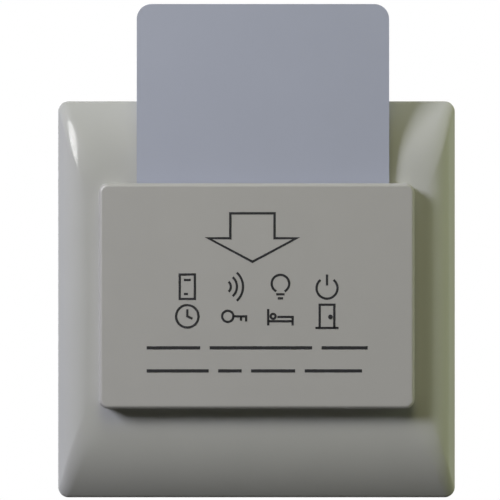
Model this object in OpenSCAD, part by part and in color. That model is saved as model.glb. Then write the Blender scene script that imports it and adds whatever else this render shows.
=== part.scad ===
// Hotel key card switch: a square wall plate with a proud card pocket, a contactless key card,
// a wall base, and a housing behind it that holds the reader, the relay and the terminals.
// Millimetres. X is right, Z is up, the front faces -Y and the wall is the plane Y = 0.

/* [Front plate] */
// Width and height of the square plate
plate_w = 86; // [85:0.5:90]
// Height of the flat crown in the middle of the plate
crown_len = 52; // [49:0.5:54]
// Radius of the rounding between the crown and the steep sides
side_r = 6.5; // [4:0.5:7]
// Slope of the steep sides in degrees
side_slope = 60; // [55:1:70]
// Height of the plate's straight rim above the wall
rim_h = 5; // [4:0.1:6]
// Wall thickness of the plate
plate_wall = 2; // [1.6:0.1:2.4]
// Corner radius at the rim
rim_corner_r = 2.2; // [2:0.1:5]
// Corner radius at the crown
crown_corner_r = 4; // [3:0.5:8]
// Depth of the groove that takes the slot cover's skirt
groove_depth = 2.6; // [2.2:0.1:3]
// Radius of the four pegs that hold the plate on the base
peg_r = 2; // [1.5:0.1:2.5]
// Distance of the pegs from the flange's edges
peg_inset = 7.5; // [6.5:0.5:9]
// Width of the screwdriver notch in the lower rim
pry_w = 8; // [5:0.5:12]
// Height of the screwdriver notch
pry_h = 1.2; // [0.8:0.1:1.6]

/* [Slot cover] */
// Width of the cover
cover_w = 67.2; // [66:0.1:70]
// Height of the cover
cover_h = 48; // [46:0.2:50]
// Height of the cover's centre above the plate's centre
cover_raise = 0.9; // [0:0.1:2]
// Thickness of the cover's front
cover_front_wall = 1.9; // [1.6:0.1:2.6]
// Thickness of the cover's side walls
cover_side_wall = 1.6; // [1.2:0.1:2]
// Thickness of the wall that the card rests on
cover_bottom_wall = 0.8; // [0.8:0.1:1.4]
// Corner radius of the cover's outline
cover_corner_r = 2; // [1.6:0.1:4]
// Radius of the rounded front edge
cover_edge_r = 0.8; // [0.6:0.1:1.5]
// Width of the guide ribs beside the card
guide_w = 1.2; // [0.8:0.1:1.5]
// Depth of the two ribs in front of the card
rib_t = 0.9; // [0.6:0.1:1.4]
// Distance of the ribs and the runners from the centre line
rib_offset = 16; // [10:0.5:20]
// Radius of the four screw bosses
boss_r = 1.9; // [1.7:0.1:2]
// Height of the screw bosses above and below the cover's centre
boss_offset = 18; // [14:0.5:19]
// Thread radius of the cover's screws
cover_screw_r = 1; // [0.8:0.05:1.1]

/* [Key card] */
// Width of the card
card_w = 53.98; // [52:0.02:54.5]
// Length of the card
card_h = 85.6; // [80:0.1:90]
// Thickness of the card
card_t = 0.76; // [0.6:0.02:1]
// Corner radius of the card
card_corner_r = 3.18; // [2.5:0.02:4]
// Sideways play that the card has taken up in its pocket
card_shift = 1.35; // [0.5:0.05:1.5]
// Thickness of the middle sheet with the antenna
inlay_t = 0.16; // [0.1:0.02:0.3]
// Distance of the card's antenna loop from the card's edge
card_antenna_inset = 4; // [3:0.5:8]
// Width of the card's antenna loop
card_antenna_band = 3; // [1.5:0.5:4]
// Height of the runners that the card slides on
runner_h = 0.5; // [0.3:0.1:0.8]

/* [Wall base] */
// Gap between the flange's edge and the inside of the plate
flange_gap = 1.5; // [1:0.1:2.5]
// Corner radius of the flange
base_corner_r = 4; // [2:0.5:6]
// Thickness of the flange
flange_t = 3; // [2.4:0.1:3.3]
// Height of the raised lid above the wall
base_rise = 5.6; // [5.4:0.1:7]
// Wall thickness of the lid
lid_wall = 1.6; // [1.2:0.1:1.8]
// Depth of the step in the flange that the housing sits on
seat_depth = 1.5; // [1:0.1:2]
// Distance between the two mounting screws
screw_pitch = 60.3; // [60.3:0.1:62]
// Length of the slots for the mounting screws
slot_len = 8; // [6:0.5:12]
// Thread radius of the mounting screws
mount_screw_r = 2; // [1.75:0.25:2.25]
// Length of the mounting screws under the head
mount_screw_len = 25; // [20:1:40]
// Radius of the mounting screws' heads
mount_head_r = 4; // [3.5:0.1:4.2]
// Height of the mounting screws' heads
mount_head_h = 2.4; // [1.8:0.1:2.6]

/* [Rear housing] */
// Width of the housing
housing_w = 50; // [49:0.5:51]
// Height of the housing
housing_h = 60; // [59:0.5:64]
// Depth of the housing behind the wall plane
housing_depth = 24; // [20:0.5:34]
// Wall thickness of the housing
housing_wall = 1.6; // [1.4:0.1:1.8]
// Corner radius of the housing
housing_corner_r = 3; // [2:0.25:4]
// Radius of the wells for the housing's screws
well_r = 2.2; // [2.1:0.05:2.4]
// Thickness of the material under the heads of the housing's screws
well_floor = 5; // [3:0.5:8]
// Number of cooling slots in the back
vent_count = 5; // [3:1:7]
// Length of a cooling slot
vent_len = 14; // [8:1:18]
// Width of a cooling slot
vent_w = 1.6; // [1:0.1:2]

/* [Circuit board] */
// Thickness of the board
board_t = 1.6; // [1.2:0.1:2]
// Width of the reader coil
coil_w = 36; // [33:0.5:37]
// Height of the reader coil
coil_h = 30; // [26:0.5:31]
// Width of the coil's winding
coil_band = 2.6; // [2:0.1:3]
// Thickness of the coil's winding
coil_t = 2.3; // [1.5:0.1:2.4]

/* [Terminals] */
// Distance between neighbouring poles
pole_pitch = 9; // [8.8:0.05:9.1]
// Height of the space that a wire takes
wire_gap = 4.8; // [4.2:0.1:5.4]
// Travel of a cage clamp
clamp_travel = 3; // [2:0.1:3.5]
// Outer width of a cage clamp
clamp_w = 7; // [6.6:0.1:7.1]
// Depth of a cage clamp along the wire
clamp_d = 7.5; // [6.5:0.1:7.8]
// Thread radius of a terminal screw
terminal_screw_r = 1.75; // [1.5:0.05:1.85]
// Head radius of a terminal screw
terminal_head_r = 2.5; // [2.3:0.1:2.8]
// Thickness of a contact bar
contact_t = 1; // [0.8:0.1:1.2]

/* [Fits] */
// Gap between the wall and the plate's rim
plate_lift = 0.3; // [0.2:0.05:0.5]
// Gap between the base's lid and the plate
plate_clear = 0.3; // [0.25:0.05:0.6]
// Gap around and behind the cover's skirt in its groove
cover_fit = 0.15; // [0.1:0.05:0.25]
// Gap on each face of the card
card_gap = 0.12; // [0.1:0.02:0.2]
// Gap between the card's edge and the guide rib
guide_clear = 0.16; // [0.1:0.02:0.3]
// Radial gap of the pegs in their sockets
peg_fit = 0.05; // [0.02:0.01:0.1]
// Gap around the housing in the flange
housing_fit = 0.15; // [0.1:0.05:0.2]
// Radial gap of screws in their threads and of leads in the board
thread_fit = 0.05; // [0.02:0.01:0.1]
// Gap around the board in the housing
board_fit = 0.5; // [0.3:0.1:0.6]
// Gap between the reader coil and the lid
coil_clear = 0.4; // [0.2:0.1:0.6]
// Gap between the terminal's moving pieces and the block
clamp_fit = 0.2; // [0.15:0.05:0.25]

/* [Hidden] */
$fn = 48;
hull_fn = 32;
cut = 1;
sink = 0.4;
skin = 0.01;
sides = [-1, 1];

// Screw heads as shares of their radius and height
head_profile = [[0, 0], [1, 0], [1, 0.55], [0.85, 0.85], [0.55, 1], [0, 1]];
recess_reach_share = 0.6;
recess_width_share = 0.22;
recess_floor_share = 0.45;

// Heights above the wall, counted towards the front
platform_h = base_rise + plate_clear;
groove_floor_h = platform_h + plate_wall;
crown_h = groove_floor_h + groove_depth;
card_back_h = crown_h + runner_h + card_gap;
card_front_h = card_back_h + card_t;
pocket_h = card_front_h + card_gap + rib_t;
cover_front_h = pocket_h + cover_front_wall;
skirt_h = groove_floor_h + cover_fit;

// How far a side with its rounding of radius r has run out where it has dropped by d
function side_run(d, r) = d < r * (1 - cos(side_slope))
    ? sqrt(d * (2 * r - d))
    : r * sin(side_slope) + (d - r * (1 - cos(side_slope))) / tan(side_slope);

// Plate
shoulder = (plate_w - crown_len) / 2;
shoulder_drop = crown_h - rim_h;
crown_w = plate_w - 2 * side_run(shoulder_drop, side_r);
arc_r = (shoulder * shoulder + shoulder_drop * shoulder_drop) / (2 * shoulder_drop);
plate_levels = 7;
inner_corner_r = 0.6;

// Cover and card
cover_bottom_z = cover_raise - cover_h / 2;
cover_top_z = cover_raise + cover_h / 2;
rest_z = cover_bottom_z + cover_bottom_wall;
guide_x = card_w / 2 + card_shift + guide_clear;
boss_inset = 0.25;
boss_x = guide_x + boss_r + boss_inset;
bed_x = guide_x - cover_fit;
bed_z = rest_z + cover_fit;
bed_top_z = crown_len / 2;
edge_steps = 4;
cover_head_r = 1.9;
cover_head_h = 1.2;
cover_screw_len = 5;
head_gap = 0.2;
rib_w = 1.6;
rib_start = 3;
card_z = rest_z + card_h / 2;
laminate_t = (card_t - inlay_t) / 2;
card_chip_w = 5;
card_chip_h = 8;
inlay_backing = 0.06;
loop_r = 3;

// Base
base_w = plate_w - 2 * (plate_wall + flange_gap);
peg_offset = base_w / 2 - peg_inset;
cavity_w = housing_w - 2 * housing_wall;
cavity_h = housing_h - 2 * housing_wall;
cavity_r = 1.4;
lid_inner_h = base_rise - lid_wall;
slot_play = 0.25;
slot_r = mount_screw_r + slot_play;
socket_wall = 1.6;
socket_gap = 1.4;
socket_h = platform_h - socket_gap;
thread_depth = 0.3;
neck_r = mount_screw_r - thread_depth;
stud_y = 0.3;

// Housing
post_r = 3.2;
post_inset = 3.4;
post_x = housing_w / 2 - post_inset;
post_z = housing_h / 2 - post_inset;
post_screw_r = 1.2;
post_screw_bite = 2.8;
post_head_r = 2;
post_head_h = 1.5;
post_play = 0.15;
post_clear_r = post_screw_r + post_play;
head_seat_y = well_floor - seat_depth;

// Board, with heights above its back face counted towards the rear
board_w = cavity_w - 2 * board_fit;
board_h = cavity_h - 2 * board_fit;
board_front_y = coil_t + coil_clear - lid_inner_h;
board_y = board_front_y + board_t;
notch_gap = 0.2;
notch_r = post_r + notch_gap;
board_screw_r = 0.9;
board_head_r = 1.7;
board_head_h = 1.2;
board_boss_r = 2;
pin_tip = 0.8;
lead_tip = 0.8;

// Terminal block
poles = 4;
chamber_floor_h = 2.1;
clamp_floor_t = 1.2;
clamp_roof_t = 2;
clamp_side_t = 0.9;
bar_gap = 0.5;
tip_gap = 0.1;
roof_t = 3.1;
roof_gap = 0.3;
neck_floor = 0.6;
terminal_head_h = 2;
wire_wall = 1.5;
block_back_wall = 2;
block_end_wall = 0.6;
block_face_inset = 0.4;
block_proud = 1.1;
clamp_play = 0.5;
bar_play = 0.3;
leg_w = 1;
leg_t = 1;
leg_channel = 1.5;
clamp_h = clamp_floor_t + wire_gap + contact_t + bar_gap + clamp_roof_t;
clamp_roof_h = chamber_floor_h + clamp_h;
bar_h = clamp_roof_h - clamp_roof_t - bar_gap;
chamber_h = clamp_roof_h + clamp_travel + roof_gap;
block_h = chamber_h + roof_t;
chamber_w = clamp_w + 2 * clamp_fit;
chamber_d = clamp_d + 2 * clamp_play;
block_d = wire_wall + chamber_d + block_back_wall;
block_w = poles * pole_pitch + 2 * block_end_wall;
block_z = block_face_inset - housing_h / 2;
block_top_z = block_z + block_d;
chamber_z = block_z + wire_wall + chamber_d / 2;
channel_z = block_z + wire_wall + chamber_d;
window_x = block_w / 2 + housing_fit;
step_z = block_top_z + housing_wall;
step_y = board_y + block_h - block_proud;
wire_hole_w = clamp_w - 2 * clamp_side_t;

// Component sizes as width, height along Z and height above the board
relay_size = [29, 12.7, 15.7];
film_size = [6, 13, 12];
smoothing_r = 4;
smoothing_h = 12.5;
core_size = [13, 6.5, 12];
core_leg = 3.4;
core_yoke = 2.2;
bobbin_gap = 0.1;
bobbin_w = core_size.x - 2 * core_yoke - 2 * bobbin_gap;
bobbin_d = 12.4;
varistor_r = 4.25;
varistor_t = 4;
varistor_h = 5.6;
fuse_r = 4.2;
fuse_h = 7.7;
bridge_size = [4.7, 3.9, 2.5];
bridge_leads = 2;
bridge_pitch = 2.54;
chip_size = [9.9, 3.9, 1.6];
chip_leads = 8;
chip_pitch = 1.27;
chip_reach = 1.1;
crystal_size = [11, 4.4, 3.5];
crystal_flange_w = 0.4;
crystal_flange_t = 0.5;
lead_r = 0.4;

// Distances of the leads from their component's centre
relay_pin_x = [-12, -2, 12];
relay_pin_z = 4;
film_pin_z = 3.75;
smoothing_pin_x = 1.75;
bobbin_pin_x = 3.6;
bobbin_pin_z = 5.2;
varistor_pin_x = 2.5;
fuse_pin_x = 2.54;

// Component places on the board
part_gap = 2;
row_gap = 1;
corner_gap = 3.5;
post_gap = 0.4;
top_row_z = post_z - post_gap;
relay_x = relay_size.x / 2 + corner_gap - post_x;
relay_z = top_row_z - relay_size.y / 2;
film_x = post_x - corner_gap - film_size.x / 2;
film_z = top_row_z - film_size.y / 2;
middle_z = top_row_z - relay_size.y - part_gap;
core_x = core_size.x / 2 + part_gap - board_w / 2;
core_z = middle_z - bobbin_d / 2;
smoothing_x = core_x + core_size.x / 2 + 2 * part_gap + smoothing_r;
smoothing_z = middle_z - smoothing_r;
varistor_x = smoothing_x + smoothing_r + part_gap + varistor_r;
varistor_z = middle_z - varistor_t / 2;
fuse_x = varistor_x;
fuse_z = middle_z - varistor_t - part_gap - fuse_r;
crystal_x = 0;
crystal_z = block_top_z + row_gap + crystal_size.y / 2;
chip_spread = 9;
chip_z = crystal_z + crystal_size.y / 2 + row_gap + chip_reach + chip_size.y / 2;
board_screw_inset = 2.6;
board_screw_x = board_w / 2 - board_screw_inset;
board_screw_z = crystal_z + part_gap;
board_pin_z = top_row_z - relay_size.y;

// Places of the leads that pass through the board
relay_leads = [for (x = relay_pin_x, z = sides) [relay_x + x, relay_z + z * relay_pin_z]];
film_leads = [for (z = sides) [film_x, film_z + z * film_pin_z]];
smoothing_leads = [for (x = sides) [smoothing_x + x * smoothing_pin_x, smoothing_z]];
bobbin_leads = [for (x = [0, bobbin_pin_x], z = sides) [core_x + x, core_z + z * bobbin_pin_z]];
varistor_leads = [for (x = sides) [varistor_x + x * varistor_pin_x, varistor_z]];
fuse_leads = [for (x = sides) [fuse_x + x * fuse_pin_x, fuse_z]];
lead_points = concat(relay_leads, film_leads, smoothing_leads, bobbin_leads, varistor_leads,
    fuse_leads);

function pole_x(i) = (i - (poles + 1) / 2) * pole_pitch;
function leg_z() = channel_z + leg_channel - leg_t / 2 - thread_fit;

// Shape helpers
module slab(y0, y1) {
    translate([0, y1, 0]) rotate([90, 0, 0]) linear_extrude(y1 - y0) children();
}

module rod(x, z, r, y0, y1) {
    translate([x, y1, z]) rotate([90, 0, 0]) cylinder(r = r, h = y1 - y0);
}

module box(x, z, w, h, y0, y1) {
    translate([x - w / 2, y0, z - h / 2]) cube([w, y1 - y0, h]);
}

module round_rect(w, h, r) {
    square([w - 2 * r, h], center = true);
    square([w, h - 2 * r], center = true);
    for (x = sides, z = sides) translate([x * (w / 2 - r), z * (h / 2 - r)]) circle(r);
}

module ring(w, h, r, band) {
    difference() {
        round_rect(w, h, r + band);
        round_rect(w - 2 * band, h - 2 * band, r);
    }
}

module at_pegs() {
    for (x = sides, z = sides) translate([x * peg_offset, 0, z * peg_offset]) children();
}

module at_bosses() {
    for (x = sides, z = sides)
        translate([x * boss_x, 0, cover_raise + z * boss_offset]) children();
}

module at_posts() {
    for (x = sides, z = sides) translate([x * post_x, 0, z * post_z]) children();
}

// A head with a cross recess, its seat at y and its crown towards dir along Y
module cross_head(r, h, y, dir) {
    translate([0, y, 0]) rotate([-90 * dir, 0, 0]) difference() {
        rotate_extrude() polygon([for (p = head_profile) [p.x * r, p.y * h]]);
        for (a = [0, 90]) rotate(a)
            translate([-recess_reach_share * r, -recess_width_share * r / 2, recess_floor_share * h])
                cube([2 * recess_reach_share * r, recess_width_share * r, h]);
    }
}

// A stack of rounded rectangles that follows the plate's arcs from angle a0 out to half width
module pillow(half, top_h, end_r, flank_r, corner, a0, y_back) {
    a1 = asin((half - crown_len / 2) / end_r);
    hull() {
        for (i = [0:plate_levels]) {
            a = a0 + (a1 - a0) * i / plate_levels;
            drop = end_r * (1 - cos(a));
            reach_z = crown_len / 2 + end_r * sin(a);
            reach_x = min(half, crown_w / 2 + side_run(drop, flank_r));
            growth = (half - reach_z) / (half - crown_len / 2);
            level_r = corner + (crown_corner_r - corner) * growth;
            slab(drop - top_h, i == plate_levels ? y_back : drop - top_h + skin)
                round_rect(2 * reach_x, 2 * reach_z, level_r, $fn = hull_fn);
        }
    }
}

// Front plate
module front_plate() {
    inner_r = arc_r - plate_wall;
    inner_start = acos(1 - groove_depth / inner_r);
    color("#a8a9a3") {
        difference() {
            pillow(plate_w / 2, crown_h, arc_r, side_r, rim_corner_r, 0, -plate_lift);
            pillow(plate_w / 2 - plate_wall, crown_h - plate_wall, inner_r, side_r - plate_wall,
                inner_corner_r, inner_start, cut);
            slab(plate_wall - crown_h, cut - platform_h)
                translate([-bed_x + plate_wall, bed_z + plate_wall])
                    square([2 * (bed_x - plate_wall), bed_top_z - bed_z - plate_wall]);
            slab(-crown_h - cut, -groove_floor_h) cover_groove();
            at_bosses() rod(0, 0, cover_screw_r + thread_fit, -crown_h, cut - platform_h);
            at_bosses() rod(0, 0, cover_head_r + head_gap, -platform_h - cover_head_h, cut - platform_h);
            translate([-pry_w / 2, -plate_lift - pry_h, -plate_w / 2 - cut])
                cube([pry_w, pry_h + cut, plate_wall + 2 * cut]);
        }
        for (x = sides) translate([x * rib_offset - rib_w / 2, -crown_h - runner_h, bed_z])
            cube([rib_w, runner_h + sink, bed_top_z - bed_z]);
        at_pegs() rod(0, 0, peg_r, -platform_h - sink, -plate_lift);
    }
}

module cover_groove() {
    difference() {
        translate([0, cover_raise])
            round_rect(cover_w + 2 * cover_fit, cover_h + 2 * cover_fit, cover_corner_r + cover_fit);
        translate([-bed_x, bed_z]) square([2 * bed_x, cover_h]);
    }
}

// Slot cover
module slot_cover() {
    chamber_x = guide_x + guide_w;
    chamber_out = cover_w / 2 - cover_side_wall;
    chamber_top = cover_top_z - cover_side_wall;
    color("#96958f") difference() {
        union() {
            difference() {
                cover_body();
                translate([-guide_x, -pocket_h, rest_z])
                    cube([2 * guide_x, pocket_h, cover_h + cut]);
                for (x = sides) translate([x < 0 ? -chamber_out : chamber_x, -pocket_h, rest_z])
                    cube([chamber_out - chamber_x, pocket_h, chamber_top - rest_z]);
            }
            at_bosses() rod(0, 0, boss_r, -pocket_h - sink, -skirt_h);
            for (x = sides) translate([x * rib_offset - rib_w / 2, -pocket_h - sink, rest_z - sink])
                cube([rib_w, rib_t + sink, cover_top_z - rib_start - rest_z]);
        }
        at_bosses() rod(0, 0, cover_screw_r + thread_fit, -pocket_h, cut - skirt_h);
    }
}

module cover_body() {
    hull() {
        slab(cover_edge_r - cover_front_h, -skirt_h) translate([0, cover_raise])
            round_rect(cover_w, cover_h, cover_corner_r, $fn = hull_fn);
        for (i = [1:edge_steps]) {
            a = 90 * i / edge_steps;
            inset = cover_edge_r * (1 - cos(a));
            y = cover_edge_r * (1 - sin(a)) - cover_front_h;
            slab(y, y + skin) translate([0, cover_raise])
                round_rect(cover_w - 2 * inset, cover_h - 2 * inset, cover_corner_r - inset, $fn = hull_fn);
        }
    }
}

module cover_screws() {
    seat_y = -platform_h - cover_head_h;
    color("#b9bbbd") at_bosses() {
        cross_head(cover_head_r, cover_head_h, seat_y, 1);
        rod(0, 0, cover_screw_r, seat_y - cover_screw_len, seat_y);
    }
}

// Key card
module card_sheet(h0, h1) {
    slab(-h1, -h0) card_place() round_rect(card_w, card_h, card_corner_r);
}

module card_place() {
    translate([card_shift, card_z]) children();
}

module card_loop() {
    ring(card_w - 2 * card_antenna_inset, card_h - 2 * card_antenna_inset, loop_r, card_antenna_band);
}

module card_chip_outline() {
    reach = card_w / 2 - card_antenna_inset - card_antenna_band - card_chip_w / 2;
    translate([reach, 0]) square([card_chip_w, card_chip_h], center = true);
}

// The recess in the inlay that the antenna and the chip fill
module in_inlay() {
    slab(laminate_t - card_front_h, -card_back_h - laminate_t - inlay_backing) card_place() children();
}

module card_back() {
    color("#9a9da6") card_sheet(card_back_h, card_back_h + laminate_t);
}

module card_inlay() {
    color("#d8dbe0") difference() {
        card_sheet(card_back_h + laminate_t, card_front_h - laminate_t);
        in_inlay() card_loop();
        in_inlay() card_chip_outline();
    }
}

module card_antenna() {
    color("#b87333") in_inlay() card_loop();
}

module card_chip() {
    color("#2b2b2e") in_inlay() card_chip_outline();
}

module card_front() {
    color("#9a9da6") card_sheet(card_front_h - laminate_t, card_front_h);
}

// Wall base
module mounting_base() {
    bite_y = -seat_depth - post_screw_bite;
    color("#b4b4b0") difference() {
        union() {
            difference() {
                union() {
                    slab(-flange_t, 0) round_rect(base_w, base_w, base_corner_r);
                    slab(-base_rise, -seat_depth)
                        round_rect(cavity_w + 2 * lid_wall, cavity_h + 2 * lid_wall, housing_corner_r);
                    at_pegs() rod(0, 0, peg_r + socket_wall, -socket_h, -seat_depth);
                }
                slab(-seat_depth, cut)
                    round_rect(housing_w + 2 * housing_fit, housing_h + 2 * housing_fit, housing_corner_r);
                slab(-lid_inner_h, cut) round_rect(cavity_w, cavity_h, cavity_r);
            }
            at_posts() rod(0, 0, post_r, -lid_inner_h - sink, -seat_depth);
            at_board_screws() rod(0, 0, board_boss_r, -lid_inner_h - sink, board_front_y);
            at_board_pins() rod(0, 0, board_boss_r, -lid_inner_h - sink, board_front_y);
            at_board_pins() rod(0, 0, board_screw_r, board_front_y - sink, board_y + pin_tip);
        }
        at_pegs() rod(0, 0, peg_r + peg_fit, -base_rise, cut);
        at_posts() rod(0, 0, post_screw_r + thread_fit, bite_y, cut);
        at_board_screws() rod(0, 0, board_screw_r + thread_fit, -lid_inner_h, cut);
        for (x = sides) translate([x * screw_pitch / 2, 0, 0]) slab(-flange_t - cut, cut) {
            square([2 * slot_r, slot_len - 2 * slot_r], center = true);
            for (z = sides) translate([0, z * (slot_len / 2 - slot_r)]) circle(slot_r);
        }
    }
}

module at_board_screws() {
    for (x = sides) translate([x * board_screw_x, 0, board_screw_z]) children();
}

module at_board_pins() {
    for (x = sides) translate([x * board_screw_x, 0, board_pin_z]) children();
}

module mounting_screws() {
    color("#c3c4c2") for (x = sides) translate([x * screw_pitch / 2, 0, 0]) {
        cross_head(mount_head_r, mount_head_h, -flange_t, -1);
        rod(0, 0, neck_r, -flange_t, stud_y);
        rod(0, 0, mount_screw_r, stud_y, mount_screw_len - flange_t);
    }
}

// Rear housing
module rear_housing() {
    color("#2f3032") difference() {
        union() {
            difference() {
                housing_body(housing_w, housing_h, housing_corner_r, 0);
                housing_body(cavity_w, cavity_h, cavity_r, housing_wall);
            }
            intersection() {
                at_posts() rod(0, 0, post_r, -seat_depth, housing_depth);
                housing_body(housing_w, housing_h, housing_corner_r, 0);
            }
        }
        at_posts() rod(0, 0, post_clear_r, -seat_depth - cut, housing_depth);
        at_posts() rod(0, 0, well_r, head_seat_y, housing_depth + cut);
        translate([-window_x, board_y, -housing_h / 2 - cut])
            cube([2 * window_x, housing_depth, block_top_z + housing_fit + housing_h / 2 + cut]);
        for (i = [1:vent_count]) {
            x = (i - (vent_count + 1) / 2) * 2 * vent_w;
            box(x, relay_z, vent_w, vent_len, housing_depth - housing_wall - cut, housing_depth + cut);
        }
    }
}

// The housing's outline, lower over the terminals, inset by the wall where it is the hollow
module housing_body(w, h, r, wall) {
    front_y = wall > 0 ? -seat_depth - cut : -seat_depth;
    slab(front_y, step_y - wall) round_rect(w, h, r);
    intersection() {
        slab(front_y, housing_depth - wall) round_rect(w, h, r);
        translate([-housing_w, front_y, step_z - housing_wall + wall])
            cube([2 * housing_w, housing_depth + seat_depth + cut, housing_h]);
    }
}

module housing_screws() {
    color("#c3c4c2") at_posts() {
        cross_head(post_head_r, post_head_h, head_seat_y, 1);
        rod(0, 0, post_screw_r, -seat_depth - post_screw_bite + tip_gap, head_seat_y);
    }
}

// Circuit board
module main_board() {
    color("#2d6b3f") difference() {
        box(0, 0, board_w, board_h, board_front_y, board_y);
        at_posts() rod(0, 0, notch_r, board_front_y - cut, board_y + cut);
        at_board_screws() rod(0, 0, board_screw_r + thread_fit, board_front_y - cut, board_y + cut);
        at_board_pins() rod(0, 0, board_screw_r + thread_fit, board_front_y - cut, board_y + cut);
        for (p = lead_points) rod(p.x, p.y, lead_r + thread_fit, board_front_y - cut, board_y + cut);
        for (i = [1:poles])
            box(pole_x(i), leg_z(), leg_w + 2 * thread_fit, leg_t + 2 * thread_fit,
                board_front_y - cut, board_y + cut);
    }
}

module board_screws() {
    color("#c3c4c2") at_board_screws() {
        cross_head(board_head_r, board_head_h, board_y, 1);
        rod(0, 0, board_screw_r, tip_gap - lid_inner_h, board_y);
    }
}

module antenna_coil() {
    color("#a5602c") slab(board_front_y - coil_t, board_front_y)
        ring(coil_w, coil_h, loop_r, coil_band);
}

// Leads from height y down through the board
module leads(points, y) {
    for (p = points) rod(p.x, p.y, lead_r, board_front_y - lead_tip, y);
}

module relay() {
    color("#22242a") {
        box(relay_x, relay_z, relay_size.x, relay_size.y, board_y, board_y + relay_size.z);
        leads(relay_leads, board_y + sink);
    }
}

module film_capacitor() {
    color("#b8862b") {
        box(film_x, film_z, film_size.x, film_size.y, board_y, board_y + film_size.z);
        leads(film_leads, board_y + sink);
    }
}

module smoothing_capacitor() {
    color("#2b2f45") {
        rod(smoothing_x, smoothing_z, smoothing_r, board_y, board_y + smoothing_h);
        leads(smoothing_leads, board_y + sink);
    }
}

module transformer_core() {
    window_w = (core_size.x - core_leg) / 2 - core_yoke;
    color("#4a4a4c") difference() {
        box(core_x, core_z, core_size.x, core_size.y, board_y, board_y + core_size.z);
        for (x = sides)
            box(core_x + x * (core_leg + window_w) / 2, core_z, window_w, core_size.y + cut,
                board_y + core_yoke, board_y + core_size.z - core_yoke);
    }
}

module transformer_bobbin() {
    y0 = board_y + core_yoke + bobbin_gap;
    y1 = board_y + core_size.z - core_yoke - bobbin_gap;
    color("#d9c27a") {
        difference() {
            box(core_x, core_z, bobbin_w, bobbin_d, y0, y1);
            box(core_x, core_z, core_leg + 2 * bobbin_gap, core_size.y + 2 * bobbin_gap,
                y0 - cut, y1 + cut);
        }
        leads(bobbin_leads, y0 + sink);
    }
}

module varistor() {
    color("#27508f") {
        translate([varistor_x, board_y + varistor_h, varistor_z - varistor_t / 2])
            cylinder(r = varistor_r, h = varistor_t);
        leads(varistor_leads, board_y + varistor_h - varistor_r / 2);
    }
}

module fuse() {
    color("#6a2d2a") {
        rod(fuse_x, fuse_z, fuse_r, board_y, board_y + fuse_h);
        leads(fuse_leads, board_y + sink);
    }
}

module bridge_rectifier() {
    color("#1f1f21") chip(crystal_x, bridge_size, bridge_leads, bridge_pitch);
}

// A flat chip body with two rows of feet on the board
module chip(x, size, leads, pitch) {
    foot_w = 0.4;
    foot_t = 0.25;
    box(x, chip_z, size.x, size.y, board_y, board_y + size.z);
    for (i = [1:leads])
        box(x + (i - (leads + 1) / 2) * pitch, chip_z, foot_w, size.y + 2 * chip_reach,
            board_y, board_y + foot_t);
}

module reader_chip() {
    color("#232326") chip(-chip_spread, chip_size, chip_leads, chip_pitch);
}

module controller_chip() {
    color("#232326") chip(chip_spread, chip_size, chip_leads, chip_pitch);
}

module crystal() {
    color("#c9cbcc") {
        crystal_layer(0, crystal_flange_t);
        crystal_layer(crystal_flange_w, crystal_size.z);
    }
}

module crystal_layer(inset, top) {
    h = crystal_size.y - 2 * inset;
    slab(board_y, board_y + top) translate([crystal_x, crystal_z])
        round_rect(crystal_size.x - 2 * inset, h, h / 2 - skin);
}

// Terminals
module terminal_block() {
    wire_y = board_y + chamber_floor_h + clamp_floor_t;
    color("#3f7f4c") difference() {
        translate([-block_w / 2, board_y, block_z]) cube([block_w, block_h, block_d]);
        for (i = [1:poles]) {
            box(pole_x(i), chamber_z, chamber_w, chamber_d, board_y - cut, board_y + chamber_h);
            box(pole_x(i), channel_z + leg_channel / 2, wire_hole_w, leg_channel + skin,
                board_y - cut, board_y + bar_h + tip_gap);
            box(pole_x(i), block_z, wire_hole_w, 2 * wire_wall + cut, wire_y, wire_y + wire_gap);
            rod(pole_x(i), chamber_z, terminal_screw_r + tip_gap, board_y, board_y + block_h);
            rod(pole_x(i), chamber_z, terminal_head_r + clamp_fit, board_y + chamber_h + neck_floor,
                board_y + block_h + cut);
        }
    }
}

module terminal_contacts() {
    bar_w = wire_hole_w - 2 * bar_play;
    bar_start = chamber_z - clamp_d / 2 + bar_play;
    color("#c8a45a") for (i = [1:poles]) {
        translate([pole_x(i) - bar_w / 2, board_y + bar_h - contact_t, bar_start])
            cube([bar_w, contact_t, leg_z() + leg_t / 2 - bar_start]);
        box(pole_x(i), leg_z(), bar_w, leg_t, board_y, board_y + bar_h);
        box(pole_x(i), leg_z(), leg_w, leg_t, board_front_y - lead_tip, board_y + sink);
    }
}

module terminal_screw(i) {
    seat_y = board_y + chamber_h + neck_floor;
    color("#c3c4c2") translate([pole_x(i), 0, chamber_z]) {
        cross_head(terminal_head_r, terminal_head_h, seat_y, 1);
        rod(0, 0, terminal_screw_r, board_y + bar_h + tip_gap, seat_y);
    }
}

module terminal_clamp(i) {
    inner_w = clamp_w - 2 * clamp_side_t;
    y0 = board_y + chamber_floor_h;
    y1 = board_y + clamp_roof_h;
    color("#c8a45a") difference() {
        box(pole_x(i), chamber_z, clamp_w, clamp_d, y0, y1);
        box(pole_x(i), chamber_z, inner_w, clamp_d + cut, y0 + clamp_floor_t, y1 - clamp_roof_t);
        rod(pole_x(i), chamber_z, terminal_screw_r + thread_fit, y1 - clamp_roof_t - cut, y1 + cut);
    }
}

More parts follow.
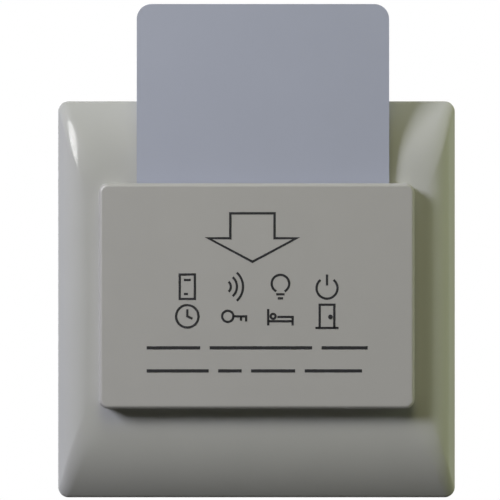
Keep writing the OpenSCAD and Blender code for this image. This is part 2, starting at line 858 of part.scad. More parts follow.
front_plate();
slot_cover();
cover_screws();
card_front();
card_inlay();
card_antenna();
card_chip();
card_back();
mounting_base();
mounting_screws();
rear_housing();
housing_screws();
main_board();
board_screws();
antenna_coil();
relay();
film_capacitor();
smoothing_capacitor();
transformer_core();
transformer_bobbin();
varistor();
fuse();
bridge_rectifier();
reader_chip();
controller_chip();
crystal();
terminal_block();
terminal_contacts();
terminal_screw(1);  // terminal_screw_1
terminal_screw(2);  // terminal_screw_2
terminal_screw(3);  // terminal_screw_3
terminal_screw(4);  // terminal_screw_4
terminal_clamp(1);  // terminal_clamp_1
terminal_clamp(2);  // terminal_clamp_2
terminal_clamp(3);  // terminal_clamp_3
terminal_clamp(4);  // terminal_clamp_4
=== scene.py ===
"""Looks of the key card switch: the moulded plate and pocket, the printed symbols, threaded screws,
softened edges on the parts behind the wall, and a procedural material for every surface.
Shapes are written in millimetres, in the frame of the solids: X right, Z up, the front towards -Y."""
import math

import bmesh
import bpy
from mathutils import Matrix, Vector

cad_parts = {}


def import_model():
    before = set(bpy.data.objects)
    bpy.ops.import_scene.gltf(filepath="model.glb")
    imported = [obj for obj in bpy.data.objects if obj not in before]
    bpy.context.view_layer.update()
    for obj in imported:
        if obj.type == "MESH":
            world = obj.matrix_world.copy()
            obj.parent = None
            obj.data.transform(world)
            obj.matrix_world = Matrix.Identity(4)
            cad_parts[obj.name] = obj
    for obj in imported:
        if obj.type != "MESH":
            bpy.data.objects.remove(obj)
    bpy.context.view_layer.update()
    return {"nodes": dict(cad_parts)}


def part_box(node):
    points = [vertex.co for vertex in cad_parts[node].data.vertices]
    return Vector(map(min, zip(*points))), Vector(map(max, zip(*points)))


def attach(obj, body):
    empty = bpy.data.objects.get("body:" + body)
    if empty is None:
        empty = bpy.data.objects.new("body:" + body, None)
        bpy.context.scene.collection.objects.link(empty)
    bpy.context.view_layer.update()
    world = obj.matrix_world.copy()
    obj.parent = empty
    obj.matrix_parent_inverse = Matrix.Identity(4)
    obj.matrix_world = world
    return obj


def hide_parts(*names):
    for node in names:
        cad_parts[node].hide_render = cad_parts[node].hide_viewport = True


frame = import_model()

MM = 0.001
SIDES = (-1, 1)


def box_mm(node):
    """Lowest and highest corner of a solid, in millimetres."""
    low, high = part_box(node)
    return Vector(low) / MM, Vector(high) / MM


# Sizes read from the solids. Names that end in H are heights above the wall, towards the front.
_, plate_high = box_mm("front_plate")
cover_low, cover_high = box_mm("slot_cover")
PLATE_HALF = plate_high.x
PLATE_BACK_H = -plate_high.y
COVER_HALF_X = cover_high.x
COVER_HALF_Z = (cover_high.z - cover_low.z) / 2
COVER_MID_Z = (cover_high.z + cover_low.z) / 2
COVER_TOP_Z = cover_high.z
COVER_FRONT_H = -cover_low.y
SKIRT_H = -cover_high.y

# Front plate: a flat crown, steep rounded sides, arched shoulders above and below, and a straight rim
CROWN_HALF_Z = 26
CROWN_H = 10.5
CROWN_CORNER_R = 4
SIDE_R = 6.5
SIDE_SLOPE = 60
RIM_H = 5
RIM_FILLET = 1.2
RIM_CORNER_R = 2.2
BACK_EDGE_R = 0.3
PLATE_WALL = 2
INNER_CORNER_R = 0.6
PLATFORM_H = 5.9
GROOVE_FLOOR_H = 7.9
SEAM = 0.05
PEG_R = 2
PEG_OFFSET = 32
PEG_TIP_R = 0.5
PRY_NOTCH_W = 8
PRY_NOTCH_DEPTH = 1.2
SHOULDER_LEVELS = 36
FILLET_LEVELS = 8

# Slot cover: the pocket between two guides, with a chamber beside each of them
COVER_CORNER_R = 2
COVER_EDGE_R = 0.8
COVER_EDGE_LEVELS = 8
PRINT_T = 0.02
POCKET_H = 12.88
GUIDE_X = 28.5
GUIDE_W = 1.2
SIDE_WALL = 1.6
REST_WALL = 0.8
REST_Z = cover_low.z + REST_WALL
MOUTH_CHAMFER = 0.6
RIB_X = 16
RIB_W = 1.6
RIB_T = 0.9
RIB_START = 3
BOSS_R = 1.9
BOSS_X = 30.65
BOSS_DZ = 18
BOSS_HOLE_R = 1.05
COVER_HEAD_R = 1.9
COVER_HEAD_T = 1.2
HEAD_GAP = 0.2

# Card bed: the part of the crown that the card slides on, with two runners
BED_GAP = 0.15
BED_HALF_X = GUIDE_X - BED_GAP
BED_LOW_Z = REST_Z + BED_GAP
BED_TOP_Z = 26
RUNNER_T = 0.5

# Overlap that makes joined shapes one, and overshoot of cuts
SINK = 0.4
CUT = 1

# Steps of a corner, of a circle and of a rounded end
CORNER_STEPS = 14
ROUND_STEPS = 40
TIP_STEPS = 4

# Angles in degrees above which an edge stays sharp in shading
MOULDED_SHARP = 32
SOFTENED_SHARP = 40
THREAD_SHARP = 38
WIRE_SHARP = 60

# Softening: points within a gap are merged and faces flat to an angle are joined, then edges that are
# sharper than an angle and longer than the end of a thin lead are rounded over
MERGE_GAP = 0.002
FLAT_ANGLE = 0.5
SOFTEN_ANGLE = 28
SHORT_EDGE = 0.08


# Mesh helpers
def outline(half_x, half_z, r, y, mid_z=0):
    """Points of a rounded rectangle in the plane at y."""
    points = []
    for quarter, (sx, sz) in enumerate(((1, 1), (-1, 1), (-1, -1), (1, -1))):
        for i in range(CORNER_STEPS + 1):
            a = math.radians(90 * (quarter + i / CORNER_STEPS))
            x = sx * (half_x - r) + r * math.cos(a)
            points.append((x, y, mid_z + sz * (half_z - r) + r * math.sin(a)))
    return points


def circle(r, y, x=0, z=0, steps=ROUND_STEPS):
    """Points of a circle in the plane at y."""
    turns = [2 * math.pi * i / steps for i in range(steps)]
    return [(x + r * math.cos(a), y, z + r * math.sin(a)) for a in turns]


def loft(bm, rings):
    """Skins rings that have the same number of points, and closes both ends."""
    rows = [[bm.verts.new(Vector(p) * MM) for p in ring] for ring in rings]
    for near, far in zip(rows, rows[1:]):
        for i in range(len(near)):
            j = (i + 1) % len(near)
            bm.faces.new((near[i], near[j], far[j], far[i]))
    bm.faces.new(reversed(rows[0]))
    bm.faces.new(rows[-1])


def piece(name, bm):
    """An object from a finished bmesh, with its faces turned outwards."""
    bmesh.ops.recalc_face_normals(bm, faces=bm.faces)
    mesh = bpy.data.meshes.new(name)
    bm.to_mesh(mesh)
    bm.free()
    obj = bpy.data.objects.new(name, mesh)
    bpy.context.scene.collection.objects.link(obj)
    return obj


def solid(name, rings):
    """An object of one closed loft."""
    bm = bmesh.new()
    loft(bm, rings)
    return piece(name, bm)


def block(x0, x1, y0, y1, z0, z1):
    """A box-shaped tool for cutting or joining."""
    corners = ((x0, z0), (x1, z0), (x1, z1), (x0, z1))
    return solid("tool", [[(x, y, z) for x, z in corners] for y in (y0, y1)])


def rod(x, z, r, y0, y1, tip=0):
    """A round tool along Y, with its end at y1 rounded off by tip."""
    rings = [circle(r, y0, x, z), circle(r, y1 - tip, x, z)]
    for i in range(1, TIP_STEPS + 1 if tip else 1):
        a = math.radians(90 * i / TIP_STEPS)
        rings.append(circle(r - tip * (1 - math.cos(a)), y1 - tip * (1 - math.sin(a)), x, z))
    return solid("tool", rings)


def discard(obj):
    """Removes an object and its mesh."""
    mesh = obj.data
    bpy.data.objects.remove(obj)
    bpy.data.meshes.remove(mesh)


def shape(obj, tools, operation="DIFFERENCE"):
    """Cuts tools from obj, or joins them to it, one after another, and removes them."""
    for tool in tools:
        step = obj.modifiers.new("step", "BOOLEAN")
        step.object = tool
        step.operation = operation
        step.solver = "EXACT"
    evaluated = obj.evaluated_get(bpy.context.evaluated_depsgraph_get())
    old = obj.data
    obj.data = bpy.data.meshes.new_from_object(evaluated)
    obj.modifiers.clear()
    bpy.data.meshes.remove(old)
    for tool in tools:
        discard(tool)
    return obj


def smooth(obj, sharp):
    """Smooth shading, broken at edges sharper than an angle in degrees."""
    obj.data.polygons.foreach_set("use_smooth", [True] * len(obj.data.polygons))
    obj.data.set_sharp_from_angle(angle=math.radians(sharp))
    return obj


def even_faces(obj):
    """Keeps flat faces evenly shaded, so that only the roundings beside them turn the light."""
    step = obj.modifiers.new("even_faces", "WEIGHTED_NORMAL")
    step.keep_sharp = True
    return obj


def softened(name, node, width, segments=2):
    """A copy of a solid whose sharp edges, other than the ends of thin leads, are rounded over by width."""
    bm = bmesh.new()
    bm.from_mesh(frame["nodes"][node].data)
    bmesh.ops.remove_doubles(bm, verts=bm.verts, dist=MERGE_GAP * MM)
    bmesh.ops.dissolve_limit(bm, angle_limit=math.radians(FLAT_ANGLE), verts=bm.verts, edges=bm.edges)
    edges = [e for e in bm.edges if e.is_manifold and e.calc_length() > SHORT_EDGE * MM
             and e.calc_face_angle(0) > math.radians(SOFTEN_ANGLE)]
    bmesh.ops.bevel(bm, geom=edges, offset=width * MM, segments=segments, profile=0.5,
                    affect="EDGES", clamp_overlap=True)
    return even_faces(smooth(piece(name, bm), SOFTENED_SHARP))


# Front plate
def side_run(drop, r):
    """How far a side, rounded by r at its top, has run outwards where it has dropped by drop."""
    steep = math.radians(SIDE_SLOPE)
    bend = r * (1 - math.cos(steep))
    if drop < bend:
        return math.sqrt(max(0, drop * (2 * r - drop)))
    return r * math.sin(steep) + (drop - bend) / math.tan(steep)


def shoulder_radius():
    """Radius of the plate's upper and lower shoulder, from its width and its drop."""
    run, drop = PLATE_HALF - CROWN_HALF_Z, CROWN_H - RIM_H
    return (run * run + drop * drop) / (2 * drop)


def shoulder(half, top_h, shoulder_r, fillet):
    """Profile of a shoulder from the crown's edge to the rim, as reach along Z and height."""
    arc_h = top_h - shoulder_r
    run = half - fillet - CROWN_HALF_Z
    fillet_h = arc_h + math.sqrt((shoulder_r - fillet) ** 2 - run ** 2)
    end = math.atan2(run, fillet_h - arc_h)
    profile = []
    for i in range(SHOULDER_LEVELS + 1):
        a = end * i / SHOULDER_LEVELS
        profile.append((CROWN_HALF_Z + shoulder_r * math.sin(a), arc_h + shoulder_r * math.cos(a)))
    for i in range(1, FILLET_LEVELS + 1):
        a = end + (math.pi / 2 - end) * i / FILLET_LEVELS
        profile.append((half - fillet + fillet * math.sin(a), fillet_h + fillet * math.cos(a)))
    return profile


def pillow(half, top_h, shoulder_r, side_r, corner_r, fillet):
    """Rings of the plate from its crown out to its half width, with a fillet into the rim."""
    crown_half_x = PLATE_HALF - side_run(CROWN_H - RIM_H, SIDE_R)
    rings = []
    for reach_z, height in shoulder(half, top_h, shoulder_r, fillet):
        reach_x = min(half, crown_half_x + side_run(top_h - height, side_r))
        inward = (half - reach_z) / (half - CROWN_HALF_Z)
        r = corner_r + (CROWN_CORNER_R - corner_r) * inward
        rings.append(outline(reach_x, reach_z, r, -height))
    return rings


def plate_outside():
    """The pillow with its rim and its broken back edge, as one block."""
    rings = pillow(PLATE_HALF, CROWN_H, shoulder_radius(), SIDE_R, RIM_CORNER_R, RIM_FILLET)
    rings.append(outline(PLATE_HALF, PLATE_HALF, RIM_CORNER_R, -PLATE_BACK_H - BACK_EDGE_R))
    inset = PLATE_HALF - BACK_EDGE_R
    rings.append(outline(inset, inset, RIM_CORNER_R - BACK_EDGE_R, -PLATE_BACK_H))
    return solid("plate_shell", rings)


def plate_hollow():
    """The space inside the plate, one wall in from its outside and flat behind the pocket."""
    half = PLATE_HALF - PLATE_WALL
    rings = pillow(half, CROWN_H - PLATE_WALL, shoulder_radius() - PLATE_WALL, SIDE_R - PLATE_WALL,
                   INNER_CORNER_R, INNER_CORNER_R)
    rings = [ring for ring in rings if -ring[0][1] < PLATFORM_H]
    ceiling = [(x, -PLATFORM_H, z) for x, _, z in rings[0]]
    mouth = outline(half, half, INNER_CORNER_R, CUT)
    return solid("tool", [ceiling, *rings, mouth])


def cover_groove():
    """The groove that takes the cover's skirt, around the card bed."""
    groove = solid("tool", [
        outline(COVER_HALF_X + SEAM, COVER_HALF_Z + SEAM, COVER_CORNER_R + SEAM, y, COVER_MID_Z)
        for y in (-CROWN_H - CUT, -GROOVE_FLOOR_H)])
    bed = block(-BED_HALF_X, BED_HALF_X, -CROWN_H - 2 * CUT, CUT, BED_LOW_Z, 2 * PLATE_HALF)
    return shape(groove, [bed])


def rib(side, y0, y1, z0, z1):
    """A narrow bar along the card's way, left or right of the middle."""
    return block(side * RIB_X - RIB_W / 2, side * RIB_X + RIB_W / 2, y0, y1, z0, z1)


def at_bosses():
    """Places of the cover's screws."""
    return [(x * BOSS_X, COVER_MID_Z + z * BOSS_DZ) for x in SIDES for z in SIDES]


def front_plate():
    """The pillow-shaped plate: shell, groove for the cover, card bed, runners and pegs."""
    core_x, core_z = BED_HALF_X - PLATE_WALL, BED_LOW_Z + PLATE_WALL
    notch_x, notch_y = PRY_NOTCH_W / 2, -PLATE_BACK_H - PRY_NOTCH_DEPTH
    cuts = [
        plate_hollow(),
        block(-core_x, core_x, PLATE_WALL - CROWN_H, CUT - PLATFORM_H, core_z, BED_TOP_Z),
        cover_groove(),
        block(-notch_x, notch_x, notch_y, CUT, -PLATE_HALF - CUT, -PLATE_HALF + PLATE_WALL + CUT),
    ]
    for x, z in at_bosses():
        cuts.append(rod(x, z, BOSS_HOLE_R, -CROWN_H - CUT, CUT - PLATFORM_H))
        cuts.append(rod(x, z, COVER_HEAD_R + HEAD_GAP, -PLATFORM_H - COVER_HEAD_T, CUT - PLATFORM_H))
    runners = [rib(side, -CROWN_H - RUNNER_T, SINK - CROWN_H, BED_LOW_Z, BED_TOP_Z) for side in SIDES]
    pegs = [rod(x * PEG_OFFSET, z * PEG_OFFSET, PEG_R, -PLATFORM_H - SINK, -PLATE_BACK_H, PEG_TIP_R)
            for x in SIDES for z in SIDES]
    plate = shape(plate_outside(), cuts)
    return smooth(shape(plate, runners + pegs, "UNION"), MOULDED_SHARP)


# Slot cover
def cover_outside():
    """The cover as one block with a rounded front edge, set back by the thickness of the print."""
    rings = [outline(COVER_HALF_X, COVER_HALF_Z, COVER_CORNER_R, -SKIRT_H, COVER_MID_Z)]
    for i in range(COVER_EDGE_LEVELS + 1):
        a = math.radians(90 * i / COVER_EDGE_LEVELS)
        inset = COVER_EDGE_R * (1 - math.cos(a))
        y = COVER_EDGE_R * (1 - math.sin(a)) - (COVER_FRONT_H - PRINT_T)
        rings.append(outline(COVER_HALF_X - inset, COVER_HALF_Z - inset, COVER_CORNER_R - inset, y,
                             COVER_MID_Z))
    return solid("pocket_cover", rings)


def cover_hollows():
    """Tools for the card pocket, the chamber beside each guide and the chamfer at the pocket's mouth."""
    tools = [block(-GUIDE_X, GUIDE_X, -POCKET_H, CUT, REST_Z, COVER_TOP_Z + CUT)]
    for side in SIDES:
        x0, x1 = sorted((side * (GUIDE_X + GUIDE_W), side * (COVER_HALF_X - SIDE_WALL)))
        tools.append(block(x0, x1, -POCKET_H, CUT, REST_Z, COVER_TOP_Z - SIDE_WALL))
    low_z, front_y = COVER_TOP_Z - MOUTH_CHAMFER, -POCKET_H - MOUTH_CHAMFER
    lip = [(CUT - POCKET_H, COVER_TOP_Z + CUT), (CUT - POCKET_H, low_z), (-POCKET_H, low_z),
           (front_y, COVER_TOP_Z), (front_y, COVER_TOP_Z + CUT)]
    tools.append(solid("tool", [[(x, y, z) for y, z in lip] for x in (-GUIDE_X, GUIDE_X)]))
    return tools


def slot_cover():
    """The proud box that makes the card pocket, open at the top, with its ribs and screw bosses."""
    cover = shape(cover_outside(), cover_hollows())
    joins = [rod(x, z, BOSS_R, -POCKET_H - SINK, -SKIRT_H) for x, z in at_bosses()]
    joins += [rib(side, -POCKET_H - SINK, RIB_T - POCKET_H, REST_Z - SINK, COVER_TOP_Z - RIB_START)
              for side in SIDES]
    shape(cover, joins, "UNION")
    shape(cover, [rod(x, z, BOSS_HOLE_R, -POCKET_H, CUT - SKIRT_H) for x, z in at_bosses()])
    return even_faces(smooth(cover, MOULDED_SHARP))


# Printed symbols. The ink stands proud of the cover by PRINT_T and sinks into it by half as much.
PRINT_Y = (-COVER_FRONT_H, -COVER_FRONT_H + 1.5 * PRINT_T)
ARROW_X = -0.9
ARROW_TOP_Z = 18.5
ARROW_SHOULDER_Z = 13.2
ARROW_TIP_Z = 8.2
ARROW_HALF_W = 9.35
ARROW_STEM_HALF_W = 4.7
ARROW_LINE_W = 0.52
SYMBOL_HALF = 2.6
SYMBOL_PITCH = 9.9
SYMBOL_X = 0.1
SYMBOL_ROWS_Z = (2.9, -3.4)
SYMBOL_LINE_W = 0.5
BAR_ROWS = ((-10.1, (11.4, 21.8, 9.8)), (-15, (13.2, 5, 9.4, 12.2)))
BAR_START_X = -23.4
BAR_GAP = 2
BAR_W = 0.7
ARC_STEPS = 24
MITRE_LIMIT = 0.3
SAME_POINT = 1e-6


def arc(mid, r, start, end):
    """Points of an arc from start to end, in degrees."""
    turns = [math.radians(start + (end - start) * i / ARC_STEPS) for i in range(ARC_STEPS + 1)]
    return [(mid[0] + r * math.cos(a), mid[1] + r * math.sin(a)) for a in turns]


def ribbon_sides(points, width, closed):
    """The two border points beside each point of a line, mitred where the line bends."""
    count = len(points)
    sides = []
    for i, point in enumerate(points):
        here = Vector(point)
        before = Vector(points[i - 1]) if closed or i else None
        after = Vector(points[(i + 1) % count]) if closed or i < count - 1 else None
        arrive = (here - before).normalized() if before else (after - here).normalized()
        leave = (after - here).normalized() if after else arrive
        normal = Vector((-arrive.y - leave.y, arrive.x + leave.x)).normalized()
        reach = width / 2 / max(normal.dot(Vector((-arrive.y, arrive.x))), MITRE_LIMIT)
        sides.append((here + normal * reach, here - normal * reach))
    return sides


def ribbon(bm, points, width, closed=False):
    """A flat inked line of even width along points on the cover's front."""
    rows = [[bm.verts.new(Vector((p.x, y, p.y)) * MM) for p in pair for y in PRINT_Y]
            for pair in ribbon_sides(points, width, closed)]
    count = len(rows)
    for i in range(count if closed else count - 1):
        a, b = rows[i], rows[(i + 1) % count]
        for k, m in ((0, 1), (1, 3), (3, 2), (2, 0)):
            bm.faces.new((a[k], a[m], b[m], b[k]))
    if not closed:
        for row in (rows[0], rows[-1]):
            bm.faces.new((row[0], row[1], row[3], row[2]))


def symbols():
    """Outlines of the generic symbols, each a list of lines within one unit of its middle."""
    card = [[(-0.62, -1), (0.62, -1), (0.62, 1), (-0.62, 1), (-0.62, -1)],
            [(-0.28, 0.55), (0.28, 0.55)], [(-0.28, -0.6), (0.05, -0.6)]]
    waves = [arc((-0.8, 0), r, -48, 48) for r in (0.55, 1.05, 1.55)]
    lamp = [arc((0, 0.25), 0.72, -62, 242), [(-0.34, -0.62), (0.34, -0.62)],
            [(-0.22, -0.95), (0.22, -0.95)]]
    power = [arc((0, -0.12), 0.86, 128, 412), [(0, 0.1), (0, 1)]]
    clock = [arc((0, 0), 0.92, 0, 360), [(0, 0.58), (0, 0), (0.42, -0.2)]]
    key = [arc((-0.5, 0), 0.46, 0, 360), [(-0.04, 0), (1, 0), (1, -0.42)], [(0.58, 0), (0.58, -0.36)]]
    bed = [[(-1, 0.6), (-1, -0.75)], [(-1, -0.4), (1, -0.4)],
           [(1, -0.75), (1, -0.05), (-0.25, -0.05)], arc((-0.6, 0), 0.2, 0, 360)]
    door = [[(-0.6, -0.95), (-0.6, 0.95), (0.6, 0.95), (0.6, -0.95)], [(-0.95, -0.95), (0.95, -0.95)],
            arc((0.28, -0.05), 0.1, 0, 360)]
    return (card, waves, lamp, power), (clock, key, bed, door)


def print_arrow(bm):
    """The outlined arrow that shows where the card goes in."""
    half = [(ARROW_STEM_HALF_W, ARROW_TOP_Z), (ARROW_STEM_HALF_W, ARROW_SHOULDER_Z),
            (ARROW_HALF_W, ARROW_SHOULDER_Z)]
    arrow = half + [(0, ARROW_TIP_Z)] + [(-x, z) for x, z in reversed(half)]
    ribbon(bm, [(ARROW_X + x, z) for x, z in arrow], ARROW_LINE_W, closed=True)


def print_symbol(bm, lines, x, z):
    """One symbol with its middle at x and z. A line that ends where it starts is closed."""
    for line in lines:
        closed = (Vector(line[0]) - Vector(line[-1])).length < SAME_POINT
        points = line[:-1] if closed else line
        placed = [(x + u * SYMBOL_HALF, z + v * SYMBOL_HALF) for u, v in points]
        ribbon(bm, placed, SYMBOL_LINE_W, closed)


def printed_symbols():
    """The arrow with rows of symbols and rows of plain bars below it."""
    bm = bmesh.new()
    print_arrow(bm)
    for row, z in zip(symbols(), SYMBOL_ROWS_Z):
        for i, lines in enumerate(row):
            print_symbol(bm, lines, SYMBOL_X + (i - (len(row) - 1) / 2) * SYMBOL_PITCH, z)
    for z, lengths in BAR_ROWS:
        x = BAR_START_X
        for length in lengths:
            ribbon(bm, [(x, z), (x + length, z)], BAR_W)
            x += length + BAR_GAP
    return piece("cover_print", bm)


# Screws. The head's profile and its recess are in shares of the head's radius and height.
HEAD_PROFILE = ((0.96, 0), (1, 0.08), (1, 0.5), (0.96, 0.66), (0.86, 0.82), (0.7, 0.93), (0.45, 1))
RECESS_REACH = 0.62
RECESS_WIDTH = 0.2
RECESS_FLOOR = 0.4
RECESS_FLOOR_TAPER = 0.62
RECESS_TOP_FLARE = 1.3

# Thread: the share of its radius that is left at the tip, a factor above 1 that flattens its crests,
# and the length over which it rises from the neck
THREAD_SIDES = 28
THREAD_RINGS_PER_TURN = 8
THREAD_TIP = 0.55
CREST_FLAT = 1.25
RUN_OUT = 0.05


def thread_rings(r, depth, pitch, y0, y1):
    """Rings of a threaded shank from y0 to y1, which narrows over its last turn."""
    length = abs(y1 - y0)
    count = max(2, round(length / pitch * THREAD_RINGS_PER_TURN))
    rings = []
    for i in range(count + 1):
        y = y0 + (y1 - y0) * i / count
        left = length * (1 - i / count)
        tip = min(1, THREAD_TIP + (1 - THREAD_TIP) * left / pitch)
        ring = []
        for k in range(THREAD_SIDES):
            a = 2 * math.pi * k / THREAD_SIDES
            phase = (length * i / count / pitch - k / THREAD_SIDES) % 1
            flank = 1 - abs(2 * phase - 1)
            crest = (r - depth + depth * min(1, flank * CREST_FLAT)) * tip
            ring.append((crest * math.cos(a), y, crest * math.sin(a)))
        rings.append(ring)
    return rings


def cross_recess(head_r, floor_y, top_y):
    """Two crossed tools that taper towards the floor of a driver's recess."""
    width = RECESS_WIDTH * head_r / 2
    tools = []
    for across in (False, True):
        ends = []
        for y, share in ((floor_y, RECESS_FLOOR_TAPER), (top_y, RECESS_TOP_FLARE)):
            reach = RECESS_REACH * head_r * share
            corners = [(-reach, -width), (reach, -width), (reach, width), (-reach, width)]
            ends.append([(b, y, -a) if across else (a, y, b) for a, b in corners])
        tools.append(solid("tool", ends))
    return tools


def screw(head, seat, out, shank, thread, tip_y):
    """One screw on the Y axis: head on its seat facing out (+1 or -1), shank and thread behind it."""
    head_r, head_t = head
    shank_r, shank_end = shank
    rings = []
    for r, h in reversed(HEAD_PROFILE):
        rings.append(circle(head_r * r, seat + out * head_t * h, steps=THREAD_SIDES))
    rings.append(circle(shank_r, seat, steps=THREAD_SIDES))
    if abs(shank_end - seat) > RUN_OUT:
        rings.append(circle(shank_r, shank_end, steps=THREAD_SIDES))
    rings += thread_rings(*thread, shank_end - out * RUN_OUT, tip_y)
    recess = cross_recess(head_r, seat + out * head_t * RECESS_FLOOR, seat + out * (head_t + CUT))
    return shape(solid("screw", rings), recess)


def screw_set(name, places, *sizes):
    """Equal screws at several places (x, z), as one object."""
    first = screw(*sizes)
    bm = bmesh.new()
    for x, z in places:
        start = len(bm.verts)
        bm.from_mesh(first.data)
        bm.verts.ensure_lookup_table()
        bmesh.ops.translate(bm, verts=bm.verts[start:], vec=Vector((x, 0, z)) * MM)
    discard(first)
    return smooth(piece(name, bm), THREAD_SHARP)


# Reader coil
COIL_TURNS = 5
COIL_LAYERS = 4
COIL_CORNER_R = 5.6
COIL_BAND = 2.6
WIRE_FILL = 0.96
WIRE_SIDES = 8


def wire_loop(bm, path, r):
    """A closed round wire along a path in a plane across Y."""
    rows = []
    for i, point in enumerate(path):
        along = (Vector(path[(i + 1) % len(path)]) - Vector(path[i - 1])).normalized()
        across = along.cross(Vector((0, 1, 0)))
        row = []
        for k in range(WIRE_SIDES):
            a = 2 * math.pi * k / WIRE_SIDES
            place = Vector(point) + across * r * math.cos(a) + Vector((0, r * math.sin(a), 0))
            row.append(bm.verts.new(place * MM))
        rows.append(row)
    for i, near in enumerate(rows):
        far = rows[(i + 1) % len(rows)]
        for k in range(WIRE_SIDES):
            m = (k + 1) % WIRE_SIDES
            bm.faces.new((near[k], near[m], far[m], far[k]))


def reader_coil():
    """The reader coil as turns of wire in layers, inside the outline of its solid."""
    low, high = box_mm("antenna_coil")
    r = COIL_BAND / COIL_TURNS / 2
    bm = bmesh.new()
    for layer in range(COIL_LAYERS):
        y = low.y + r + (high.y - low.y - 2 * r) * layer / (COIL_LAYERS - 1)
        for turn in range(COIL_TURNS):
            inset = r * (2 * turn + 1)
            path = outline(high.x - inset, high.z - inset, COIL_CORNER_R - inset, y)
            wire_loop(bm, path, r * WIRE_FILL)
    return smooth(piece("wound_coil", bm), WIRE_SHARP)


# Materials
NOISE_RANGE = (0.3, 0.7)


def linear(*rgb):
    """A colour from its 0 to 255 values to the shader's linear values."""
    return [c / 255 / 12.92 if c / 255 <= 0.04045 else ((c / 255 + 0.055) / 1.055) ** 2.4 for c in rgb]


def shades(rgb, spread):
    """A darker and a lighter neighbour of a colour, as shader values."""
    middle = linear(*rgb)
    return [(*[c * (1 + sign * spread) for c in middle], 1) for sign in SIDES]


class Finish:
    """Builds a material from noise layers in the object's own coordinates."""

    def __init__(self, name):
        self.material = bpy.data.materials.new(name)
        self.material.use_nodes = True
        self.nodes = self.material.node_tree.nodes
        self.links = self.material.node_tree.links
        self.shader = self.nodes["Principled BSDF"]
        self.place = self.nodes.new("ShaderNodeTexCoord").outputs["Object"]

    def set(self, **values):
        """Constants on the shader's own sockets."""
        for name, value in values.items():
            self.shader.inputs[name.replace("_", " ")].default_value = value
        return self

    def noise(self, size, detail=3, stretch=(1, 1, 1)):
        """Noise whose grain is size millimetres, stretched along the axes."""
        scale = self.nodes.new("ShaderNodeMapping")
        scale.inputs["Scale"].default_value = [1 / (size * MM * s) for s in stretch]
        self.links.new(self.place, scale.inputs["Vector"])
        noise = self.nodes.new("ShaderNodeTexNoise")
        noise.inputs["Scale"].default_value = 1
        noise.inputs["Detail"].default_value = detail
        self.links.new(scale.outputs["Vector"], noise.inputs["Vector"])
        return noise.outputs["Fac"]

    def spread(self, value, low, high, source=NOISE_RANGE):
        """A value mapped from the source range to low and high."""
        node = self.nodes.new("ShaderNodeMapRange")
        for name, number in zip(("From Min", "From Max", "To Min", "To Max"), (*source, low, high)):
            node.inputs[name].default_value = number
        self.links.new(value, node.inputs["Value"])
        return node.outputs["Result"]

    def colour(self, rgb, spread, size, detail=3):
        """Base colour that wanders between two close shades."""
        ramp = self.nodes.new("ShaderNodeValToRGB")
        for element, position, shade in zip(ramp.color_ramp.elements, NOISE_RANGE, shades(rgb, spread)):
            element.position = position
            element.color = shade
        self.links.new(self.noise(size, detail), ramp.inputs["Fac"])
        self.links.new(ramp.outputs["Color"], self.shader.inputs["Base Color"])
        return self

    def roughness(self, low, high, size, stretch=(1, 1, 1)):
        """Roughness that varies over the surface."""
        cloud = self.noise(size, stretch=stretch)
        self.links.new(self.spread(cloud, low, high), self.shader.inputs["Roughness"])
        return self

    def grain(self, size, depth, detail=2, stretch=(1, 1, 1)):
        """Raised grain of a size and a depth in millimetres."""
        bump = self.nodes.new("ShaderNodeBump")
        bump.inputs["Strength"].default_value = 1
        bump.inputs["Distance"].default_value = depth * MM
        self.links.new(self.noise(size, detail, stretch), bump.inputs["Height"])
        self.links.new(bump.outputs["Normal"], self.shader.inputs["Normal"])
        return self


def moulded(name, rgb, rough, grain, depth, spread=0.03, specular=0.5):
    """Injection moulded plastic with a sparked tool finish."""
    finish = Finish(name).set(Specular_IOR_Level=specular)
    finish.colour(rgb, spread, size=9, detail=5).roughness(*rough, size=3).grain(grain, depth)
    return finish.material


def metal(name, rgb, rough, stretch=(1, 1, 1)):
    """Plated or drawn metal with fine tool marks."""
    finish = Finish(name).set(Metallic=1.0)
    finish.colour(rgb, spread=0.08, size=2.5, detail=4).roughness(*rough, size=0.8, stretch=stretch)
    finish.grain(size=0.25, depth=0.004, detail=3, stretch=stretch)
    return finish.material


def card_stock():
    """Matte laminated card with a faint fibre in its print layer."""
    finish = Finish("card_stock").set(Specular_IOR_Level=0.35)
    finish.colour((160, 164, 181), spread=0.012, size=14, detail=4).roughness(0.48, 0.58, size=4)
    finish.grain(size=0.16, depth=0.002, detail=3)
    return finish.material


def printed_ink():
    """Dark pad-printed ink with slightly uneven cover."""
    finish = Finish("printed_ink").set(Specular_IOR_Level=0.12)
    finish.colour((36, 36, 38), spread=0.25, size=0.5, detail=4).roughness(0.45, 0.6, size=0.4)
    finish.grain(size=0.12, depth=0.002)
    return finish.material


